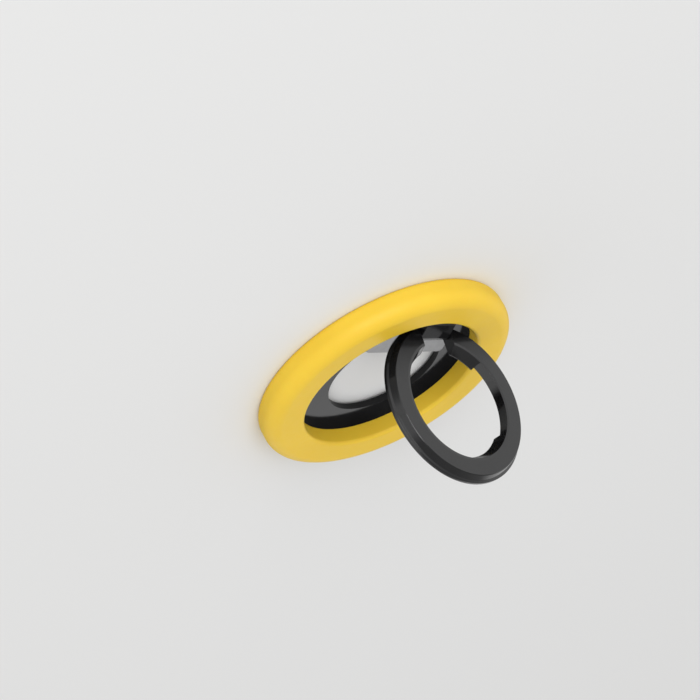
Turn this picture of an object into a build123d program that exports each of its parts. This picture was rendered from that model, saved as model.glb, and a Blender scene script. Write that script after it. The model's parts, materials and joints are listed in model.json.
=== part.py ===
from build123d import *
from math import cos, degrees, hypot, radians, sin, sqrt, tan
import os

# Magnetic ring holder: a round silicone pad with a shallow well in its middle, and a hinged
# stand ring that folds down into the well. All sizes are in millimetres.
# The back face lies on z = 0 and its centre is the origin. +Z points out of the back face.
# The hinge axis runs along X, on the +Y side. The stand ring is modelled open, as it rests.

# Stand ring, measured as it lies closed in the well with its face up
ring_open_angle = 77.2
ring_inner_radius = 13.24
ring_face_width = 3.76
ring_thickness = 2.6
ring_wall_draft = 0.65
ring_wall_height = 1.55
ring_ledge_width = 0.52
ring_ledge_fall = 0.2
ring_bevel_width = 0.58
ring_bevel_fall = 0.06
ring_lip_width = 1.07
ring_lip_start = 1.3
ring_edge = 0.18
recess_half_angle = 39.0
recess_ramp_angle = 9.0
recess_flare = 0.27

# Hinge axis, pin, friction sleeve and washers
hinge_inset = 1.1
hinge_depth = 1.3
heel_clearance = 0.2
pin_radius = 0.5
pin_end_wall = 0.3
sleeve_wall = 0.35
sleeve_slit = 0.4
sleeve_inset = 0.1
washer_thickness = 0.2
washer_width = 0.5

# Hinge bracket: the knuckle, with a round nose about the hinge axis
knuckle_wall = 0.57
knuckle_half_width = 4.2
knuckle_back_gap = 0.75
knuckle_top_slope = 10.9
knuckle_back_radius = 0.5
knuckle_edge = 0.2

# Hinge plate: a steel sheet across the tray, with a tongue under the knuckle
plate_reach = 8.9
plate_setback = 2.5
plate_thickness = 0.4
plate_side_inset = 1.54
plate_side_taper = 0.35
plate_corner_radius = 1.0

# Hinge tray, the floor of the well, with a rim turned down round its hole
tray_thickness = 0.9
tray_rim_width = 1.3
tray_rim_drop = 0.6
adhesive_thickness = 0.2

# Base ring, a moulded frame with the magnet channel and an inner flange
flange_thickness = 0.6
flange_setback = 0.76
channel_wall = 0.8
channel_roof = 0.6

# Magnets, and the steel ring above them that turns their pull to the back face
magnet_count = 16
magnet_inset = 2.45
magnet_width = 4.0
magnet_thickness = 1.05
magnet_gap = 0.15
shunt_thickness = 0.4

# Contact film on the back face
film_thickness = 0.3

# Silicone pad, a round cushion with a bore through its middle
well_gap = 2.38
pad_above_ring = 0.45
pad_skirt = 1.25
pad_shoulder_radius = 3.2
pad_foot_inset = 0.75
pad_foot_height = 1.3
pad_lip_radius = 0.85
pad_top_fall = 0.15

# Screws that hold the base ring, the tray, the plate and the bracket together
screw_spacing = 5.2
screw_inset = 1.25
screw_radius = 0.65
screw_head_radius = 1.15
screw_head_height = 0.5
screw_cover = 0.9
socket_radius = 0.5
socket_depth = 0.45

# Clearances
fit_clearance = 0.05
slip_clearance = 0.1
pin_clearance = 0.03
side_clearance = 0.025
cut_margin = 1.0

# Heights, from the back face up to the hinge plate
flange_top = film_thickness + flange_thickness
tray_bottom = flange_top + adhesive_thickness
tray_top = tray_bottom + tray_thickness
plate_top = tray_top + plate_thickness
magnet_bottom = film_thickness + slip_clearance
shunt_bottom = magnet_bottom + magnet_thickness + fit_clearance
channel_top = shunt_bottom + shunt_thickness + fit_clearance
base_top = channel_top + channel_roof

# Ring radii, from the inner edge of its face outwards
ring_face_radius = ring_inner_radius + ring_face_width
ring_crease_radius = ring_face_radius + ring_wall_draft
ring_rim_radius = ring_crease_radius + ring_ledge_width
ring_lip_radius = ring_inner_radius - ring_lip_width

# Hinge place: the ring's heel just clears the tray as it turns
slot_half_width = knuckle_half_width + washer_thickness + 2 * side_clearance
hinge_y = ring_face_radius - hinge_inset
heel_y = sqrt(ring_rim_radius**2 - slot_half_width**2)
heel_sweep = hypot(heel_y - hinge_y, ring_thickness - hinge_depth)
hinge_z = tray_top + heel_sweep + heel_clearance
hinge_axis = Axis((0, hinge_y, hinge_z), (1, 0, 0))
ring_face_z = hinge_z + hinge_depth
ring_back_z = ring_face_z - ring_thickness
sleeve_outer_radius = pin_radius + pin_clearance + sleeve_wall
knuckle_radius = sleeve_outer_radius + knuckle_wall

# Radii round the well, from its bore outwards
bore_radius = ring_rim_radius + well_gap
tray_radius = bore_radius - slip_clearance
flange_inner_radius = ring_inner_radius + tray_rim_width + flange_setback
magnet_inner_radius = bore_radius + magnet_inset
magnet_outer_radius = magnet_inner_radius + magnet_width
channel_inner_radius = magnet_inner_radius - slip_clearance
channel_outer_radius = magnet_outer_radius + slip_clearance
base_inner_radius = channel_inner_radius - channel_wall
base_outer_radius = channel_outer_radius + channel_wall
pad_radius = base_outer_radius + pad_skirt
pad_height = ring_face_z + pad_above_ring

# Places along Y on the tray
plate_front_y = hinge_y - plate_reach
plate_back_y = hinge_y - plate_setback
plate_front_half_width = ring_inner_radius - plate_side_inset
plate_back_half_width = plate_front_half_width - plate_side_taper * (plate_back_y - plate_front_y)
knuckle_back_y = bore_radius - knuckle_back_gap
screw_y = knuckle_back_y - screw_inset


def path(*points):
    """Straight edges through (radius, z) points, in the plane y = 0."""
    return Polyline(*[(r, 0, z) for r, z in points]).edges()


def arc(centre, radius, start, end):
    """Arc about a (radius, z) centre, from one angle to another, in degrees up from +X."""
    angles = [radians(a) for a in (start, (start + end) / 2, end)]
    points = [(centre[0] + radius * cos(a), 0, centre[1] + radius * sin(a)) for a in angles]
    return ThreePointArc(*points).edges()


def turned(*edge_lists):
    """Solid of revolution about Z of a closed outline."""
    edges = [edge for edge_list in edge_lists for edge in edge_list]
    return revolve(make_face(Wire(edges)), Axis.Z)


def hoop(inner, outer, bottom, top):
    """Plain ring of rectangular section about Z."""
    corners = [(inner, bottom), (outer, bottom), (outer, top), (inner, top), (inner, bottom)]
    return turned(path(*corners))


def upright(radius, x, y, bottom, top):
    """Round bar parallel to Z."""
    bar = Cylinder(radius, top - bottom, align=(Align.CENTER, Align.CENTER, Align.MIN))
    return Pos(x, y, bottom) * bar


def on_hinge(radius, x_from, x_to):
    """Round bar on the hinge axis."""
    bar = Cylinder(radius, x_to - x_from, align=(Align.CENTER, Align.CENTER, Align.MIN))
    return Pos(x_from, hinge_y, hinge_z) * Rot(0, 90, 0) * bar


def block(x_from, x_to, y_from, y_to, z_from, z_to):
    """Rectangular block between two corners."""
    size = (x_to - x_from, y_to - y_from, z_to - z_from)
    return Pos(x_from, y_from, z_from) * Box(*size, align=(Align.MIN, Align.MIN, Align.MIN))


def across(outline, half_width):
    """A wire in the plane x = 0, made into a bar that reaches half_width to each side."""
    return extrude(make_face(outline), half_width, dir=(1, 0, 0), both=True)


def d_plug(radius, chord_y, bottom, top):
    """Disc about Z with its +Y side cut off along a chord."""
    disc = upright(radius, 0, 0, bottom, top)
    far_y = radius + cut_margin
    return disc - block(-far_y, far_y, chord_y, far_y, bottom - cut_margin, top + cut_margin)


def make_silicone_pad():
    """Cushion with a rounded shoulder, a soft bore edge and a pocket for the base ring."""
    foot_radius = pad_radius - pad_foot_inset
    shoulder_centre = (pad_radius - pad_shoulder_radius, pad_height - pad_shoulder_radius)
    lip_top = pad_height - pad_top_fall
    lip_centre = (bore_radius + pad_lip_radius, lip_top - pad_lip_radius)
    pocket_inner = base_inner_radius - fit_clearance
    pocket_outer = base_outer_radius + fit_clearance
    return turned(
        path((foot_radius, 0), (pad_radius, pad_foot_height), (pad_radius, shoulder_centre[1])),
        arc(shoulder_centre, pad_shoulder_radius, 0, 90),
        path((shoulder_centre[0], pad_height), (lip_centre[0], lip_top)),
        arc(lip_centre, pad_lip_radius, 90, 180),
        path((bore_radius, lip_centre[1]), (bore_radius, flange_top), (pocket_inner, flange_top)),
        path((pocket_inner, flange_top), (pocket_inner, base_top), (pocket_outer, base_top)),
        path((pocket_outer, base_top), (pocket_outer, 0), (foot_radius, 0)),
    )


def make_contact_film():
    """Soft film that closes the magnet channel and lies against the surface."""
    return hoop(flange_inner_radius, base_outer_radius, 0, film_thickness)


def make_base_ring():
    """Moulded ring: a flange under the tray, and a channel for the magnets, open below."""
    channel = hoop(channel_inner_radius, channel_outer_radius, film_thickness - cut_margin, channel_top)
    ring = hoop(base_inner_radius, base_outer_radius, film_thickness, base_top)
    ring += hoop(flange_inner_radius, base_inner_radius + channel_wall, film_thickness, flange_top)
    return ring - channel - screw_holes()


def make_shunt_ring():
    """Flat steel ring under the roof of the channel."""
    return hoop(magnet_inner_radius, magnet_outer_radius, shunt_bottom, shunt_bottom + shunt_thickness)


def make_magnet(index):
    """One arc magnet of the set that fills the channel."""
    pitch = 360 / magnet_count
    gap_angle = degrees(magnet_gap / magnet_inner_radius)
    section = Rectangle(magnet_width, magnet_thickness, align=(Align.MIN, Align.MIN))
    section = Pos(magnet_inner_radius, 0, magnet_bottom) * Rot(90, 0, 0) * section
    magnet = revolve(section, Axis.Z, revolution_arc=pitch - gap_angle)
    return Rot(0, 0, index * pitch) * magnet


def screw_holes():
    """Two clearance holes, countersunk from below, through all that the bracket clamps."""
    bottom = film_thickness - cut_margin
    hole = upright(screw_radius + fit_clearance, 0, screw_y, bottom, plate_top + cut_margin)
    sink = Cone(
        screw_head_radius + fit_clearance,
        screw_radius + fit_clearance,
        screw_head_height,
        align=(Align.CENTER, Align.CENTER, Align.MIN),
    )
    hole += Pos(0, screw_y, film_thickness) * sink
    return Pos(-screw_spacing / 2, 0, 0) * hole + Pos(screw_spacing / 2, 0, 0) * hole


def make_tray_adhesive():
    """Ring of adhesive film between the flange and the tray."""
    ring = hoop(flange_inner_radius + slip_clearance, tray_radius, flange_top, tray_bottom)
    return ring - screw_holes()


def make_hinge_tray():
    """Disc with a D-shaped hole, and a rim turned down along the edge of the hole."""
    rim_bottom = tray_bottom - tray_rim_drop
    tray = upright(tray_radius, 0, 0, tray_bottom, tray_top)
    tray += d_plug(ring_inner_radius + tray_rim_width, plate_front_y + tray_rim_width, rim_bottom, tray_top)
    tray -= d_plug(ring_inner_radius, plate_front_y, rim_bottom - cut_margin, tray_top + cut_margin)
    return tray - screw_holes()


def make_hinge_plate():
    """Sheet across the tray with slanting sides, which runs on under the knuckle to the screws."""
    right = [
        (plate_front_half_width, plate_front_y),
        (plate_back_half_width, plate_back_y),
        (knuckle_half_width, plate_back_y),
        (knuckle_half_width, knuckle_back_y),
    ]
    left = [(-x, y) for x, y in reversed(right)]
    outline = make_face(Polyline(*[(x, y, tray_top) for x, y in right + left], close=True))
    plate = extrude(outline, plate_thickness, dir=(0, 0, 1))
    corners = [edge for edge in plate.edges().filter_by(Axis.Z) if abs(edge.center().X) > slot_half_width]
    return fillet(corners, plate_corner_radius) - screw_holes()


def make_knuckle():
    """Round nose about the hinge axis, with a top that slopes down to a square back."""
    angles = [radians(a) for a in (180, (270 - knuckle_top_slope) / 2, 90 - knuckle_top_slope)]
    nose = [(0, hinge_y + knuckle_radius * cos(a), hinge_z + knuckle_radius * sin(a)) for a in angles]
    back_fall = (knuckle_back_y - nose[2][1]) * tan(radians(knuckle_top_slope))
    back_top = (0, knuckle_back_y, nose[2][2] - back_fall)
    back_foot = (0, knuckle_back_y, plate_top)
    front_foot = (0, nose[0][1], plate_top)
    straight = Polyline(nose[2], back_top, back_foot, front_foot, nose[0])
    knuckle = across(Wire(ThreePointArc(*nose).edges() + straight.edges()), knuckle_half_width)
    back_edge = knuckle.edges().filter_by(Axis.X).sort_by(Axis.Y)[-2:].sort_by(Axis.Z)[-1]
    knuckle = fillet(back_edge, knuckle_back_radius)
    sides = knuckle.faces().filter_by(Axis.X).edges()
    foot = sides.filter_by(Axis.Y).sort_by(Axis.Z)[:2]
    return fillet(sides - foot, knuckle_edge)


def make_hinge_bracket():
    """Knuckle on the plate, bored for the sleeve and, from below, for the screws."""
    bracket = make_knuckle() - on_hinge(sleeve_outer_radius, -slot_half_width, slot_half_width)
    for x in (-screw_spacing / 2, screw_spacing / 2):
        bracket -= upright(screw_radius, x, screw_y, tray_top - cut_margin, screw_end_z())
    return bracket


def screw_end_z():
    """Height of the screw tips, a cover's thickness below the sloping top of the knuckle."""
    fall = (screw_y - hinge_y) * sin(radians(knuckle_top_slope))
    return hinge_z + knuckle_radius - fall - screw_cover


def make_bracket_screws():
    """Two countersunk screws with a hexagon socket in the head."""
    shank = upright(screw_radius, 0, screw_y, film_thickness, screw_end_z())
    foot = (Align.CENTER, Align.CENTER, Align.MIN)
    head = Cone(screw_head_radius, screw_radius, screw_head_height, align=foot)
    socket = extrude(RegularPolygon(socket_radius, 6), socket_depth)
    screw = shank + Pos(0, screw_y, film_thickness) * head - Pos(0, screw_y, film_thickness) * socket
    return Compound([Pos(x, 0, 0) * screw for x in (-screw_spacing / 2, screw_spacing / 2)])


def ring_wall_radius(depth):
    """Radius of the ring's conical outer wall at a depth below its face."""
    run = (depth - ring_edge) / (ring_wall_height - ring_edge)
    return ring_face_radius + ring_edge + run * (ring_wall_draft - ring_edge)


def pin_reach(wall):
    """X at which the pin's outer side comes within a wall's thickness of the ring's outer wall."""
    return sqrt((ring_wall_radius(hinge_depth) - wall) ** 2 - (hinge_y + pin_radius) ** 2)


def make_closed_ring():
    """The ring before its slot, recesses and bores are cut, lying closed in the well."""
    back = ring_thickness
    profile = [
        (ring_inner_radius + ring_bevel_width, 0),
        (ring_face_radius, 0),
        (ring_face_radius + ring_edge, ring_edge),
        (ring_crease_radius, ring_wall_height),
        (ring_rim_radius, ring_wall_height + ring_ledge_fall),
        (ring_rim_radius, back - ring_edge),
        (ring_rim_radius - ring_edge, back),
        (ring_lip_radius + ring_edge, back),
        (ring_lip_radius, back - ring_edge),
        (ring_lip_radius, ring_lip_start),
        (ring_inner_radius, ring_bevel_fall),
        (ring_inner_radius + ring_bevel_width, 0),
    ]
    return turned(path(*[(radius, ring_face_z - depth) for radius, depth in profile]))


def finger_recess():
    """Cut through the sloping lip on the +X side, flared to the back and ramped towards the tip."""
    back_z = ring_back_z - cut_margin
    edge_z = ring_face_z - ring_bevel_fall
    flare = recess_flare * (edge_z - back_z) / (edge_z - ring_back_z)
    inside = ring_lip_radius - cut_margin
    outline = path((inside, back_z), (ring_inner_radius + flare, back_z), (ring_inner_radius, edge_z))
    outline += path((ring_inner_radius, edge_z), (inside, edge_z), (inside, back_z))
    section = make_face(Wire(outline))
    sector = revolve(section, Axis.Z, revolution_arc=2 * recess_half_angle)
    sector = Rot(0, 0, -recess_half_angle) * sector
    ramp_from = radians(recess_ramp_angle / 2 - recess_half_angle)
    ramp_to = radians(-recess_ramp_angle / 2 - recess_half_angle)
    corners = [
        (inside, ramp_from),
        (ring_inner_radius, ramp_from),
        (ring_lip_radius - fit_clearance, ramp_to),
        (inside, ramp_to),
    ]
    ramp = make_face(Polyline(*[(r * cos(a), r * sin(a), back_z) for r, a in corners], close=True))
    return sector + extrude(ramp, edge_z - back_z, dir=(0, 0, 1))


def make_stand_ring():
    """C-shaped ring with a slot for the knuckle, turned about the hinge to its open place."""
    ring = make_closed_ring()
    slot_top = ring_face_z + cut_margin
    far_y = ring_rim_radius + cut_margin
    ring -= block(-slot_half_width, slot_half_width, 0, far_y, ring_back_z - cut_margin, slot_top)
    recess = finger_recess()
    ring -= recess
    ring -= mirror(recess, Plane.YZ)
    ring -= on_hinge(pin_radius, -pin_reach(pin_end_wall), ring_rim_radius)
    return ring.rotate(hinge_axis, -ring_open_angle)


def make_hinge_pin():
    """Straight pin, driven in from the +X side into a blind bore in the other arm."""
    return on_hinge(pin_radius, -pin_reach(pin_end_wall), pin_reach(0))


def make_friction_sleeve():
    """Split sleeve in the knuckle that grips the pin, so that the ring stays where it is put."""
    reach = knuckle_half_width - sleeve_inset
    sleeve = on_hinge(sleeve_outer_radius, -reach, reach)
    sleeve -= on_hinge(pin_radius + pin_clearance, -slot_half_width, slot_half_width)
    slit_y = (hinge_y - sleeve_slit / 2, hinge_y + sleeve_slit / 2)
    return sleeve - block(-slot_half_width, slot_half_width, *slit_y, plate_top, hinge_z)


def make_hinge_washer(side):
    """Washer between the knuckle and one arm of the ring."""
    inner_x = knuckle_half_width + side_clearance
    outer_x = inner_x + washer_thickness
    washer = on_hinge(pin_radius + washer_width, inner_x, outer_x)
    washer -= on_hinge(pin_radius + pin_clearance, 0, ring_rim_radius)
    return washer if side > 0 else mirror(washer, Plane.YZ)


nodes = {
    "silicone_pad": make_silicone_pad(),
    "contact_film": make_contact_film(),
    "base_ring": make_base_ring(),
    "shunt_ring": make_shunt_ring(),
    "tray_adhesive": make_tray_adhesive(),
    "hinge_tray": make_hinge_tray(),
    "hinge_plate": make_hinge_plate(),
    "hinge_bracket": make_hinge_bracket(),
    "bracket_screws": make_bracket_screws(),
    "stand_ring": make_stand_ring(),
    "hinge_pin": make_hinge_pin(),
    "friction_sleeve": make_friction_sleeve(),
    "hinge_washer_left": make_hinge_washer(-1),
    "hinge_washer_right": make_hinge_washer(1),
}
for index in range(magnet_count):
    nodes[f"magnet_{index + 1:02d}"] = make_magnet(index)

os.makedirs("parts", exist_ok=True)
for name, shape in nodes.items():
    export_step(shape, f"parts/{name}.step")
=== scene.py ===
import bmesh
import bpy
import json
from math import atan2, cos, degrees, pi, radians, sin, tan
from mathutils import Matrix, Vector


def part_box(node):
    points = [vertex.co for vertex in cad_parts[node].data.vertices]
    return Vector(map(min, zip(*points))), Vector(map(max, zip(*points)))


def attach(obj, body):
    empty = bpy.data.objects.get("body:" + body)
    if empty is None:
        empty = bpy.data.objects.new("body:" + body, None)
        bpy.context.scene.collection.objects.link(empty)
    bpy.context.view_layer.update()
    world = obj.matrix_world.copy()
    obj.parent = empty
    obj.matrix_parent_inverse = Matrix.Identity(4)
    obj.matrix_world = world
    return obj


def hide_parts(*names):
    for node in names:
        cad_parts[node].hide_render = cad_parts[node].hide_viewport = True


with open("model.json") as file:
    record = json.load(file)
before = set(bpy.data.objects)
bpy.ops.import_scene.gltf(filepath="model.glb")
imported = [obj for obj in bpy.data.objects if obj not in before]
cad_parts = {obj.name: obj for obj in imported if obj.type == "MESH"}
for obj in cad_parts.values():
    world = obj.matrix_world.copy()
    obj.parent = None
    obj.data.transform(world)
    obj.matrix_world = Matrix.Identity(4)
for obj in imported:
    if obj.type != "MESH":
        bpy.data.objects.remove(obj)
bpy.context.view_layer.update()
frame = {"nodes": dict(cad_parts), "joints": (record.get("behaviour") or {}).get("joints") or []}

# Sizes are in millimetres here, and MM turns them into metres.
MM = 0.001

# Axes, and the two corners of a node's box
X, Y, Z = 0, 1, 2
LOW, HIGH = 0, 1


def corner(node, which, axis):
    """One coordinate of a node's box, in millimetres; which is LOW or HIGH."""
    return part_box(node)[which][axis] / MM


def extent(node, axis):
    """How long a node's box is along an axis, in millimetres."""
    return corner(node, HIGH, axis) - corner(node, LOW, axis)


# Places read from the frame
hinge = frame["joints"][0]
hinge_y = hinge["pos_m"][1] / MM
hinge_z = hinge["pos_m"][2] / MM
open_angle = -hinge["range_deg"][0]
pad_radius = corner("silicone_pad", HIGH, X)
pad_height = corner("silicone_pad", HIGH, Z)
tray_top = corner("hinge_tray", HIGH, Z)
tray_radius = corner("hinge_tray", HIGH, X)
rim_bottom = corner("hinge_tray", LOW, Z)
flange_top = corner("tray_adhesive", LOW, Z)
tray_bottom = corner("tray_adhesive", HIGH, Z)
base_outer_radius = corner("base_ring", HIGH, X)
base_top = corner("base_ring", HIGH, Z)
plate_front_y = corner("hinge_plate", LOW, Y)
plate_top = corner("hinge_plate", HIGH, Z)
knuckle_half_width = corner("hinge_bracket", HIGH, X)
knuckle_back_y = corner("hinge_bracket", HIGH, Y)
knuckle_top = corner("hinge_bracket", HIGH, Z)
ring_rim_radius = corner("stand_ring", HIGH, X)
washer_outer_x = corner("hinge_washer_right", HIGH, X)
screw_top = corner("bracket_screws", HIGH, Z)
screw_y = (corner("bracket_screws", HIGH, Y) + corner("bracket_screws", LOW, Y)) / 2
sleeve_radius = corner("friction_sleeve", HIGH, Y) - hinge_y
pin_radius = corner("hinge_pin", HIGH, Y) - hinge_y
pin_start_x = corner("hinge_pin", LOW, X)

# The two screws lie side by side along X, so their box is one head longer than their spacing.
screw_spacing = extent("bracket_screws", X) - extent("bracket_screws", Y)

# Silicone pad
pad_shoulder_radius = 3.2
pad_foot_inset = 0.75
pad_foot_height = 1.3
pad_lip_radius = 0.85
pad_top_fall = 0.15
pad_bore_gap = 0.1
pocket_gap = 0.05
pocket_inner_radius = 22.05
pocket_outer_radius = base_outer_radius + pocket_gap

# Tray and its hole
hole_radius = 13.24
rim_width = 1.3
tray_edge = 0.07

# Hinge plate, and the bracket on it
plate_back_y = 13.4
plate_front_half_width = 11.7
plate_side_taper = 0.35
plate_corner_radius = 1.0
plate_notch_radius = 0.15
plate_edge = 0.09
screw_radius = 0.65
screw_clearance = 0.05
knuckle_top_slope = 10.9
knuckle_back_radius = 0.5
knuckle_edge = 0.14

# Stand ring, measured as it lies closed
ring_face_depth = 1.3
ring_face_width = 3.76
ring_thickness = 2.6
ring_wall_draft = 0.65
ring_wall_height = 1.55
ring_ledge_fall = 0.2
ring_bevel_width = 0.58
ring_bevel_fall = 0.06
ring_lip_width = 1.07
ring_lip_land = 0.35
ring_edge = 0.18
ring_chamfer_start = 0.04
recess_half_angle = 39.0
recess_ramp_angle = 9.0
recess_ramp_overlap = 0.05
recess_flare = 0.27
recess_edge = 0.06
side_gap = 0.025

# How round the corners of the ring's section are, where they differ from its edge
bevel_inner_round = 0.06
bevel_outer_round = 0.3
chamfer_round = 0.1
ledge_inner_round = 0.08
ledge_outer_round = 0.12
lip_round = 0.12

# How finely round shapes are divided, and how far cutters reach past a piece
steps_round = 360
steps_recess = 78
steps_bore = 48
steps_pin_bore = 36
steps_screw_hole = 24
steps_foot = 9
steps_shoulder = 24
steps_lip = 14
steps_nose = 28
steps_plate_corner = 12
steps_knuckle_corner = 6
margin = 1.0

# How close points are merged, in a new mesh and after a cut
weld = 0.00001
sliver = 0.001

# A rounding takes at most this share of an edge, and a corner wider than this angle stays as it is.
rounding_share = 0.45
nearly_straight = radians(175)


def arc_points(centre, radius, start, end, steps):
    """Points along an arc, angles in degrees."""
    angles = [radians(start + (end - start) * i / steps) for i in range(steps + 1)]
    return [(centre[0] + radius * cos(a), centre[1] + radius * sin(a)) for a in angles]


def circle_points(centre, radius, steps):
    """Points all round a circle, each of them once."""
    return arc_points(centre, radius, 0, 360 - 360 / steps, steps - 1)


def rounded(points, radius, steps=4):
    """A closed outline with each corner rounded; a corner given as (x, y, r) has its own radius."""
    outline = []
    count = len(points)
    for i, point in enumerate(points):
        here = Vector(point[:2])
        before = Vector(points[i - 1][:2]) - here
        after = Vector(points[(i + 1) % count][:2]) - here
        r = point[2] if len(point) > 2 else radius
        corner_angle = before.angle(after)
        if r <= 0 or corner_angle > nearly_straight:
            outline.append(tuple(here))
            continue
        longest = (rounding_share * before.length, rounding_share * after.length)
        reach = min(r / tan(corner_angle / 2), *longest)
        r = reach * tan(corner_angle / 2)
        start = here + before.normalized() * reach
        end = here + after.normalized() * reach
        middle = (before.normalized() + after.normalized()).normalized()
        centre = here + middle * (r / sin(corner_angle / 2))
        first = atan2(start.y - centre.y, start.x - centre.x)
        last = atan2(end.y - centre.y, end.x - centre.x)
        last = first + (last - first + pi) % (2 * pi) - pi
        for k in range(steps + 1):
            a = first + (last - first) * k / steps
            outline.append((centre.x + r * cos(a), centre.y + r * sin(a)))
    return outline


def new_object(name, bm):
    """A mesh object in metres from a bmesh in millimetres, with its faces turned outwards."""
    bmesh.ops.remove_doubles(bm, verts=bm.verts, dist=weld)
    bmesh.ops.recalc_face_normals(bm, faces=bm.faces)
    bmesh.ops.scale(bm, vec=(MM, MM, MM), verts=bm.verts)
    mesh = bpy.data.meshes.new(name)
    bm.to_mesh(mesh)
    bm.free()
    piece = bpy.data.objects.new(name, mesh)
    bpy.context.scene.collection.objects.link(piece)
    return piece


def lathe(name, outline, steps=steps_round, start=0.0, sweep=360.0):
    """A closed (radius, z) outline turned about Z, all round or through part of a turn with closed ends."""
    bm = bmesh.new()
    full = sweep >= 360
    turns = steps if full else steps + 1
    rows = []
    for i in range(turns):
        a = radians(start + sweep * i / steps)
        rows.append([bm.verts.new((r * cos(a), r * sin(a), z)) for r, z in outline])
    count = len(outline)
    for i in range(steps):
        here, there = rows[i], rows[(i + 1) % turns]
        for k in range(count):
            after = (k + 1) % count
            bm.faces.new((here[k], there[k], there[after], here[after]))
    if not full:
        bm.faces.new(rows[0])
        bm.faces.new(rows[-1])
    return new_object(name, bm)


def prism(name, outline, low, high, place):
    """A closed 2D outline pushed from low to high; place turns (u, v, height) into a point."""
    bm = bmesh.new()
    bottom = [bm.verts.new(place(u, v, low)) for u, v in outline]
    top = [bm.verts.new(place(u, v, high)) for u, v in outline]
    bm.faces.new(bottom)
    bm.faces.new(top)
    for i in range(len(outline)):
        after = (i + 1) % len(outline)
        bm.faces.new((bottom[i], bottom[after], top[after], top[i]))
    return new_object(name, bm)


def along_z(u, v, height):
    """Place of an outline drawn in X and Y and pushed along Z."""
    return (u, v, height)


def along_x(u, v, height):
    """Place of an outline drawn in Y and Z and pushed along X."""
    return (height, u, v)


def combine(piece, other, operation):
    """Join another solid to a piece or cut it out, and drop the other."""
    boolean = piece.modifiers.new("combine", "BOOLEAN")
    boolean.operation = operation
    boolean.solver = "EXACT"
    boolean.object = other
    apply_modifiers(piece)
    bpy.data.objects.remove(other)


def apply_modifiers(piece):
    """Bake a piece's modifiers into its mesh."""
    depsgraph = bpy.context.evaluated_depsgraph_get()
    mesh = bpy.data.meshes.new_from_object(piece.evaluated_get(depsgraph))
    old = piece.data
    piece.modifiers.clear()
    piece.data = mesh
    bpy.data.meshes.remove(old)
    merge_slivers(piece)


def merge_slivers(piece):
    """Merge points that lie almost on top of each other, so that the mesh stays closed in later cuts."""
    bm = bmesh.new()
    bm.from_mesh(piece.data)
    bmesh.ops.remove_doubles(bm, verts=bm.verts, dist=sliver * MM)
    bmesh.ops.dissolve_degenerate(bm, edges=bm.edges, dist=sliver * MM)
    bm.to_mesh(piece.data)
    bm.free()


def soften(piece, width, segments=3, angle=32):
    """Round the edges that are sharper than an angle, and shade the rest smoothly."""
    bevel = piece.modifiers.new("edges", "BEVEL")
    bevel.limit_method = "ANGLE"
    bevel.angle_limit = radians(angle)
    bevel.width = width * MM
    bevel.segments = segments
    apply_modifiers(piece)
    smooth(piece)
    return piece


def smooth(piece, angle=40):
    """Smooth shading with weighted normals, so that flat faces stay flat beside rounded edges."""
    piece.data.shade_smooth()
    piece.data.set_sharp_from_angle(angle=radians(angle))
    weighted = piece.modifiers.new("normals", "WEIGHTED_NORMAL")
    weighted.mode = "FACE_AREA"
    weighted.weight = 90
    weighted.keep_sharp = True


def make_pad():
    """Silicone cushion, turned from one outline with round shoulder, foot and bore edge."""
    bore_radius = tray_radius + pad_bore_gap
    lip_top = pad_height - pad_top_fall
    shoulder_centre = (pad_radius - pad_shoulder_radius, pad_height - pad_shoulder_radius)
    lip_centre = (bore_radius + pad_lip_radius, lip_top - pad_lip_radius)
    outline = []
    for i in range(steps_foot):
        a = radians(90 * i / steps_foot)
        outline.append((pad_radius - pad_foot_inset * (1 - sin(a)), pad_foot_height * (1 - cos(a))))
    outline += arc_points(shoulder_centre, pad_shoulder_radius, 0, 90, steps_shoulder)
    outline += arc_points(lip_centre, pad_lip_radius, 90, 180, steps_lip)
    outline += [(bore_radius, flange_top), (pocket_inner_radius, flange_top)]
    outline += [(pocket_inner_radius, base_top), (pocket_outer_radius, base_top), (pocket_outer_radius, 0)]
    pad = lathe("silicone_cushion", outline)
    smooth(pad, angle=50)
    return pad


def d_outline(radius, chord_y):
    """Outline of a disc cut off along a chord on its +Y side."""
    chord_angle = degrees(atan2(chord_y, (radius**2 - chord_y**2) ** 0.5))
    return arc_points((0, 0), radius, 180 - chord_angle, 360 + chord_angle, steps_round)


def make_tray():
    """Floor of the well with its D-shaped hole and the rim turned down round it."""
    disc = circle_points((0, 0), tray_radius, steps_round)
    tray = prism("well_floor", disc, tray_bottom, tray_top, along_z)
    rim = d_outline(hole_radius + rim_width, plate_front_y + rim_width)
    rim = prism("rim", rim, rim_bottom, tray_top, along_z)
    combine(tray, rim, "UNION")
    hole = d_outline(hole_radius, plate_front_y)
    hole = prism("hole", hole, rim_bottom - margin, tray_top + margin, along_z)
    combine(tray, hole, "DIFFERENCE")
    return soften(tray, tray_edge)


def drill_for_screws(piece, radius, low, high):
    """Bore the two screw holes in a piece, from one height to another."""
    for x in (-screw_spacing / 2, screw_spacing / 2):
        hole = circle_points((x, screw_y), radius, steps_screw_hole)
        hole = prism("screw_hole", hole, low, high, along_z)
        combine(piece, hole, "DIFFERENCE")


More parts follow.
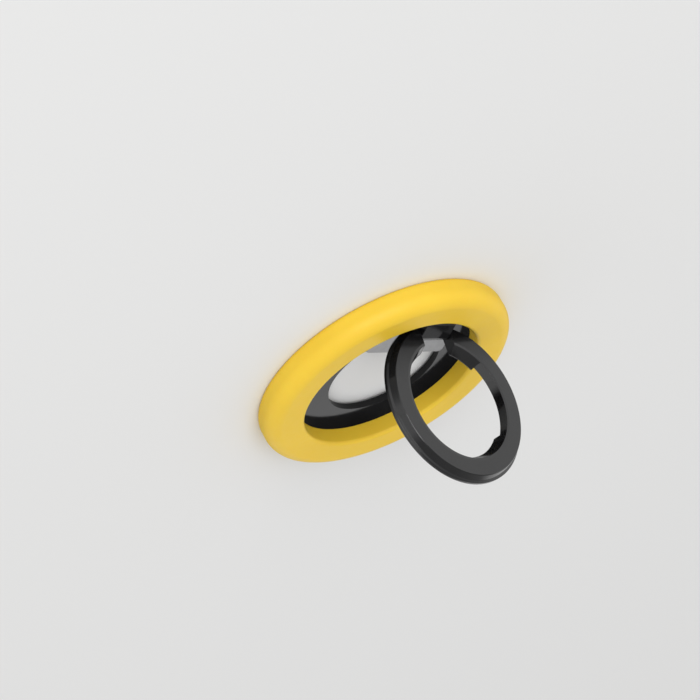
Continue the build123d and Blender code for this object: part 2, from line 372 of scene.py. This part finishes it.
def make_plate():
    """Steel sheet across the tray with slanting sides and a tongue under the knuckle."""
    back_half_width = plate_front_half_width - plate_side_taper * (plate_back_y - plate_front_y)
    right = [
        (plate_front_half_width, plate_front_y, plate_corner_radius),
        (back_half_width, plate_back_y, plate_corner_radius),
        (knuckle_half_width, plate_back_y, plate_notch_radius),
        (knuckle_half_width, knuckle_back_y, 0),
    ]
    left = [(-x, y, radius) for x, y, radius in reversed(right)]
    outline = rounded(right + left, 0, steps_plate_corner)
    plate = prism("plate_sheet", outline, tray_top, plate_top, along_z)
    drill_for_screws(plate, screw_radius + screw_clearance, tray_top - margin, plate_top + margin)
    return soften(plate, plate_edge, segments=4)


def make_bracket():
    """Round-nosed knuckle on the plate, bored along the hinge and for the screws."""
    nose_radius = knuckle_top - hinge_z
    nose = arc_points((hinge_y, hinge_z), nose_radius, 180, 90 - knuckle_top_slope, steps_nose)
    back_top = nose[-1][1] - (knuckle_back_y - nose[-1][0]) * tan(radians(knuckle_top_slope))
    back = [nose[-1], (knuckle_back_y, back_top, knuckle_back_radius), (knuckle_back_y, plate_top)]
    back = rounded(back, 0, steps_knuckle_corner)
    profile = nose + back[1:] + [(hinge_y - nose_radius, plate_top)]
    knuckle = prism("knuckle", profile, -knuckle_half_width, knuckle_half_width, along_x)
    bore = circle_points((hinge_y, hinge_z), sleeve_radius, steps_bore)
    bore = prism("bore", bore, -knuckle_half_width - margin, knuckle_half_width + margin, along_x)
    combine(knuckle, bore, "DIFFERENCE")
    drill_for_screws(knuckle, screw_radius, plate_top - margin, screw_top)
    knuckle.name = "bracket_casting"
    return soften(knuckle, knuckle_edge, segments=4)


def ring_outline():
    """Section of the stand ring as (radius, z), closed and face up."""
    face_z = hinge_z + ring_face_depth
    back_z = face_z - ring_thickness
    face_radius = hole_radius + ring_face_width
    lip_radius = hole_radius - ring_lip_width
    wall_foot_z = face_z - ring_wall_height
    points = [
        (hole_radius, face_z - ring_bevel_fall, bevel_inner_round),
        (hole_radius + ring_bevel_width, face_z, bevel_outer_round),
        (face_radius + ring_chamfer_start, face_z, chamfer_round),
        (face_radius + ring_edge, face_z - ring_edge, chamfer_round),
        (face_radius + ring_wall_draft, wall_foot_z, ledge_inner_round),
        (ring_rim_radius, wall_foot_z - ring_ledge_fall, ledge_outer_round),
        (ring_rim_radius, back_z),
        (lip_radius, back_z),
        (lip_radius, back_z + ring_lip_land, lip_round),
    ]
    return rounded(points, ring_edge)


def recess_cutter(side):
    """Cutter for the finger recess in the sloping lip, with its ramp at the end towards the tip."""
    face_z = hinge_z + ring_face_depth
    back_z = face_z - ring_thickness - margin
    top_z = face_z + margin
    edge_z = face_z - ring_bevel_fall
    lip_radius = hole_radius - ring_lip_width
    inside = lip_radius - margin
    slant = recess_flare / (ring_thickness - ring_bevel_fall)
    outline = [
        (inside, back_z),
        (hole_radius + slant * (edge_z - back_z), back_z),
        (hole_radius + slant * (edge_z - top_z), top_z),
        (inside, top_z),
    ]
    sector = lathe("recess", outline, steps_recess, -recess_half_angle, 2 * recess_half_angle)
    ramp_from = radians(recess_ramp_angle / 2 - recess_half_angle)
    ramp_to = radians(-recess_ramp_angle / 2 - recess_half_angle)
    corners = [
        (inside, ramp_from),
        (hole_radius, ramp_from),
        (lip_radius - recess_ramp_overlap, ramp_to),
        (inside, ramp_to),
    ]
    ramp = prism("ramp", [(r * cos(a), r * sin(a)) for r, a in corners], back_z, top_z, along_z)
    combine(sector, ramp, "UNION")
    if side < 0:
        sector.data.transform(Matrix.Scale(-1, 4, (1, 0, 0)))
        sector.data.flip_normals()
    return sector


def make_ring():
    """C-shaped stand ring, made closed and then turned about the hinge to its open place."""
    ring = lathe("ring_casting", ring_outline())
    face_z = hinge_z + ring_face_depth
    half_slot = washer_outer_x + side_gap
    reach = ring_rim_radius + margin
    slot = [(-half_slot, 0), (half_slot, 0), (half_slot, reach), (-half_slot, reach)]
    slot = prism("slot", slot, face_z - ring_thickness - margin, face_z + margin, along_z)
    combine(ring, slot, "DIFFERENCE")
    bore = circle_points((hinge_y, hinge_z), pin_radius, steps_pin_bore)
    bore = prism("bore", bore, pin_start_x, ring_rim_radius, along_x)
    combine(ring, bore, "DIFFERENCE")
    for side in (-1, 1):
        combine(ring, recess_cutter(side), "DIFFERENCE")
    soften(ring, recess_edge, segments=2, angle=38)
    pivot = Vector((0, hinge_y * MM, hinge_z * MM))
    opening = Matrix.Rotation(radians(-open_angle), 4, "X")
    ring.data.transform(Matrix.Translation(pivot) @ opening @ Matrix.Translation(-pivot))
    return ring


def new_material(name):
    """An empty node material with its shader."""
    mat = bpy.data.materials.new(name)
    mat.use_nodes = True
    tree = mat.node_tree
    shader = tree.nodes["Principled BSDF"]
    return mat, tree, shader


def noise(tree, scale, detail=4.0, roughness=0.5):
    """Noise in the object's own coordinates; scale is in waves per metre."""
    coordinates = tree.nodes.new("ShaderNodeTexCoord")
    texture = tree.nodes.new("ShaderNodeTexNoise")
    texture.inputs["Scale"].default_value = scale
    texture.inputs["Detail"].default_value = detail
    texture.inputs["Roughness"].default_value = roughness
    tree.links.new(coordinates.outputs["Object"], texture.inputs["Vector"])
    return texture.outputs["Fac"]


def spread(tree, factor, low, high, start=0.3, end=0.7):
    """A factor spread over a range of values."""
    range_node = tree.nodes.new("ShaderNodeMapRange")
    range_node.inputs["From Min"].default_value = start
    range_node.inputs["From Max"].default_value = end
    range_node.inputs["To Min"].default_value = low
    range_node.inputs["To Max"].default_value = high
    tree.links.new(factor, range_node.inputs["Value"])
    return range_node.outputs["Result"]


def two_tones(tree, factor, first, second, start=0.3, end=0.7):
    """A colour that wanders between two tones."""
    ramp = tree.nodes.new("ShaderNodeValToRGB")
    ramp.color_ramp.elements[0].position = start
    ramp.color_ramp.elements[1].position = end
    ramp.color_ramp.elements[0].color = (*first, 1)
    ramp.color_ramp.elements[1].color = (*second, 1)
    tree.links.new(factor, ramp.inputs["Fac"])
    return ramp.outputs["Color"]


# Places of a Mix node's sockets, which bear the same names for numbers and for colours
FACTOR = 0
NUMBER_A, NUMBER_B, NUMBER_OUT = 2, 3, 0
COLOUR_A, COLOUR_B, COLOUR_OUT = 6, 7, 2


def glossy_mix(tree, data_type):
    """A Mix node that gives its second value to glossy reflections and its first to all else."""
    path = tree.nodes.new("ShaderNodeLightPath")
    mix = tree.nodes.new("ShaderNodeMix")
    mix.data_type = data_type
    tree.links.new(path.outputs["Is Glossy Ray"], mix.inputs[FACTOR])
    return mix


def with_painted_reflection(tree, colour, reflection):
    """Painted reflection: a colour that glossy rays see as another one."""
    mix = glossy_mix(tree, "RGBA")
    tree.links.new(colour, mix.inputs[COLOUR_A])
    tree.links.new(reflection, mix.inputs[COLOUR_B])
    return mix.outputs[COLOUR_OUT]


def bump(tree, shader, height, distance, strength=1.0):
    """Surface relief; distance is in metres."""
    node = tree.nodes.new("ShaderNodeBump")
    node.inputs["Distance"].default_value = distance
    node.inputs["Strength"].default_value = strength
    tree.links.new(height, node.inputs["Height"])
    tree.links.new(node.outputs["Normal"], shader.inputs["Normal"])


def silicone():
    """Soft yellow silicone: satin, slightly translucent, with a very fine grain; glossy rays see it nearly
    black, a painted dark reflection.
    """
    mat, tree, shader = new_material("yellow_silicone")
    patches = noise(tree, 90, 3)
    tone = two_tones(tree, patches, (0.85, 0.560, 0.036), (0.88, 0.590, 0.042))
    # Painted dark reflection: glossy rays see the cushion nearly black in place of its yellow.
    shade = two_tones(tree, patches, (0.010, 0.010, 0.010), (0.012, 0.012, 0.012))
    tree.links.new(with_painted_reflection(tree, tone, shade), shader.inputs["Base Color"])
    tree.links.new(spread(tree, noise(tree, 700, 5), 0.44, 0.54), shader.inputs["Roughness"])
    shader.inputs["IOR"].default_value = 1.41
    shader.inputs["Subsurface Weight"].default_value = 0.12
    shader.inputs["Subsurface Radius"].default_value = (1.0, 0.45, 0.08)
    shader.inputs["Subsurface Scale"].default_value = 0.0012
    bump(tree, shader, noise(tree, 6000, 6, 0.6), distance=0.00001, strength=0.25)
    return mat


def gloss_black(name, low, high, waviness, ior=1.5):
    """Glossy black coat with a faint orange peel: roughness goes from low to high."""
    mat, tree, shader = new_material(name)
    tone = two_tones(tree, noise(tree, 200, 3), (0.0045, 0.0045, 0.005), (0.0075, 0.0075, 0.008))
    tree.links.new(tone, shader.inputs["Base Color"])
    tree.links.new(spread(tree, noise(tree, 900, 5), low, high), shader.inputs["Roughness"])
    shader.inputs["IOR"].default_value = ior
    bump(tree, shader, noise(tree, 1500, 4), distance=waviness, strength=0.3)
    return mat


def matte_black(name):
    """Moulded black plastic or film with a fine matte grain."""
    mat, tree, shader = new_material(name)
    tone = two_tones(tree, noise(tree, 400, 4), (0.014, 0.014, 0.015), (0.022, 0.022, 0.023))
    tree.links.new(tone, shader.inputs["Base Color"])
    tree.links.new(spread(tree, noise(tree, 2500, 5), 0.48, 0.62), shader.inputs["Roughness"])
    bump(tree, shader, noise(tree, 5000, 6, 0.6), distance=0.00002, strength=0.4)
    return mat


def metal(name, first, second, low, high):
    """Bare metal with a fine grain: colour goes from first to second, roughness from low to high."""
    mat, tree, shader = new_material(name)
    tree.links.new(two_tones(tree, noise(tree, 800, 5), first, second), shader.inputs["Base Color"])
    tree.links.new(spread(tree, noise(tree, 3000, 6), low, high), shader.inputs["Roughness"])
    shader.inputs["Metallic"].default_value = 1.0
    bump(tree, shader, noise(tree, 9000, 4), distance=0.000004, strength=0.3)
    return mat


def natural_polymer():
    """Off-white engineering polymer, waxy and even."""
    mat, tree, shader = new_material("natural_polymer")
    tone = two_tones(tree, noise(tree, 500, 3), (0.50, 0.48, 0.42), (0.56, 0.54, 0.48))
    tree.links.new(tone, shader.inputs["Base Color"])
    tree.links.new(spread(tree, noise(tree, 2000, 4), 0.35, 0.45), shader.inputs["Roughness"])
    bump(tree, shader, noise(tree, 4000, 4), distance=0.000005, strength=0.3)
    return mat


def dress(piece, mat):
    """Give a new piece its material."""
    piece.data.materials.clear()
    piece.data.materials.append(mat)


def paint(node, mat):
    """Give a carried-over node its material."""
    mesh = frame["nodes"][node].data
    mesh.materials.clear()
    mesh.materials.append(mat)


# Materials
yellow = silicone()
tray_black = gloss_black("tray_gloss_black", 0.07, 0.11, waviness=0.000004)
cast_black = gloss_black("lacquer_gloss_black", 0.10, 0.16, waviness=0.000004, ior=1.62)
plastic = matte_black("moulded_black")
film = matte_black("film_black")
steel = metal("plain_steel", (0.50, 0.50, 0.51), (0.60, 0.60, 0.60), 0.22, 0.38)
satin_steel = metal("satin_steel", (0.39, 0.39, 0.395), (0.43, 0.43, 0.435), 0.30, 0.40)
nickel = metal("nickel_plating", (0.60, 0.58, 0.54), (0.68, 0.66, 0.62), 0.12, 0.24)
polymer = natural_polymer()

# Pieces made anew, each in place of its solid
pad = make_pad()
dress(pad, yellow)
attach(pad, "base")
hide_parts("silicone_pad")

tray = make_tray()
dress(tray, tray_black)
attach(tray, "base")
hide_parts("hinge_tray")

plate = make_plate()
dress(plate, satin_steel)
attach(plate, "base")
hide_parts("hinge_plate")

bracket = make_bracket()
dress(bracket, cast_black)
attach(bracket, "base")
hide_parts("hinge_bracket")

ring = make_ring()
dress(ring, cast_black)
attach(ring, "ring")
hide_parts("stand_ring")

# Nodes that keep their solids
paint("contact_film", film)
paint("base_ring", plastic)
paint("tray_adhesive", film)
paint("friction_sleeve", polymer)
for name in ("shunt_ring", "bracket_screws", "hinge_pin", "hinge_washer_left", "hinge_washer_right"):
    paint(name, steel)
for name in sorted(frame["nodes"]):
    if name.startswith("magnet_"):
        paint(name, nickel)

# Floor, in metres: a painted reflection, which glossy rays see dark near the object and bright further out
floor_tone = (0.80, 0.80, 0.795)
floor_unevenness = 1.01
floor_half = 6.0
painted_reflection_near = 0.045
painted_reflection_far = 0.11
painted_reflection_dark = (0.32, 0.32, 0.32)
painted_reflection_bright = (0.97, 0.97, 0.97)

# Surroundings: the level that lights the object, and the sky that gloss mirrors. The sky darkens
# between two heights, each the z of a unit vector.
world_level = 0.79
sky_horizon = 0.95
sky_zenith = 0.38
sky_turn_low = 0.40
sky_turn_high = 0.60

# Key lamp, in metres and watts
key_place = (-0.62, 0.92, 0.50)
key_size = 0.7
key_power = 6.3

# Camera, fitted to the round edges in the photograph: place in metres, lens and sensor in millimetres
camera_place = (-0.4122, 0.3293, 0.2488)
camera_right = Vector((0.7150, 0.5409, 0.4429))
camera_up = Vector((0.0158, 0.6209, -0.7838))
camera_lens = 140.55
camera_sensor = 36.0
camera_reach = 50.0


def make_floor():
    """Plain pale floor at the level of the back face, with a painted reflection that glossy rays see dark
    near the object and bright further out.
    """
    bm = bmesh.new()
    half = floor_half / MM
    bm.faces.new([bm.verts.new((x * half, y * half, 0)) for x, y in ((-1, -1), (1, -1), (1, 1), (-1, 1))])
    floor = new_object("floor", bm)
    mat, tree, shader = new_material("pale_floor")
    lighter_tone = tuple(floor_unevenness * level for level in floor_tone)
    tone = two_tones(tree, noise(tree, 3, 2), floor_tone, lighter_tone)
    coordinates = tree.nodes.new("ShaderNodeTexCoord")
    distance = tree.nodes.new("ShaderNodeVectorMath")
    distance.operation = "LENGTH"
    tree.links.new(coordinates.outputs["Object"], distance.inputs[0])
    # Painted reflection: glossy rays see the floor darker near the object, where shade falls, and brighter
    # further out.
    outwards = spread(tree, distance.outputs["Value"], 0, 1, painted_reflection_near, painted_reflection_far)
    painted_floor_reflection = two_tones(tree, outwards, painted_reflection_dark, painted_reflection_bright, start=0, end=1)
    tree.links.new(with_painted_reflection(tree, tone, painted_floor_reflection), shader.inputs["Base Color"])
    shader.inputs["Roughness"].default_value = 0.85
    shader.inputs["Specular IOR Level"].default_value = 0.1
    floor.data.materials.append(mat)


def make_world():
    """Soft white surroundings at one level, which gloss mirrors as a sky that darkens upwards."""
    world = bpy.data.worlds.new("studio")
    bpy.context.scene.world = world
    world.use_nodes = True
    tree = world.node_tree
    back = tree.nodes["Background"]
    back.inputs["Color"].default_value = (1, 1, 1, 1)
    coordinates = tree.nodes.new("ShaderNodeTexCoord")
    direction = tree.nodes.new("ShaderNodeSeparateXYZ")
    tree.links.new(coordinates.outputs["Generated"], direction.inputs["Vector"])
    sky = spread(tree, direction.outputs["Z"], sky_horizon, sky_zenith, sky_turn_low, sky_turn_high)
    strength = glossy_mix(tree, "FLOAT")
    strength.inputs[NUMBER_A].default_value = world_level
    tree.links.new(sky, strength.inputs[NUMBER_B])
    tree.links.new(strength.outputs[NUMBER_OUT], back.inputs["Strength"])


def make_lamp(name, place, size, power):
    """Soft square lamp aimed at the object."""
    lamp = bpy.data.lights.new(name, "AREA")
    lamp.shape = "SQUARE"
    lamp.size = size
    lamp.energy = power
    lamp_object = bpy.data.objects.new(name, lamp)
    bpy.context.scene.collection.objects.link(lamp_object)
    lamp_object.location = place
    lamp_object.rotation_euler = (-Vector(place)).to_track_quat("-Z", "Y").to_euler()


def make_camera():
    """Camera at the photograph's place, lens and roll."""
    camera = bpy.data.cameras.new("camera")
    camera.sensor_width = camera_sensor
    camera.lens = camera_lens
    camera.clip_end = camera_reach
    camera_object = bpy.data.objects.new("camera", camera)
    bpy.context.scene.collection.objects.link(camera_object)
    backward = camera_right.cross(camera_up)
    rotation = Matrix((camera_right, camera_up, backward)).transposed().to_4x4()
    camera_object.matrix_world = Matrix.Translation(camera_place) @ rotation
    bpy.context.scene.camera = camera_object


make_floor()
make_world()
make_lamp("key", key_place, key_size, key_power)
make_camera()

scene = bpy.context.scene
scene.view_settings.view_transform = "Standard"
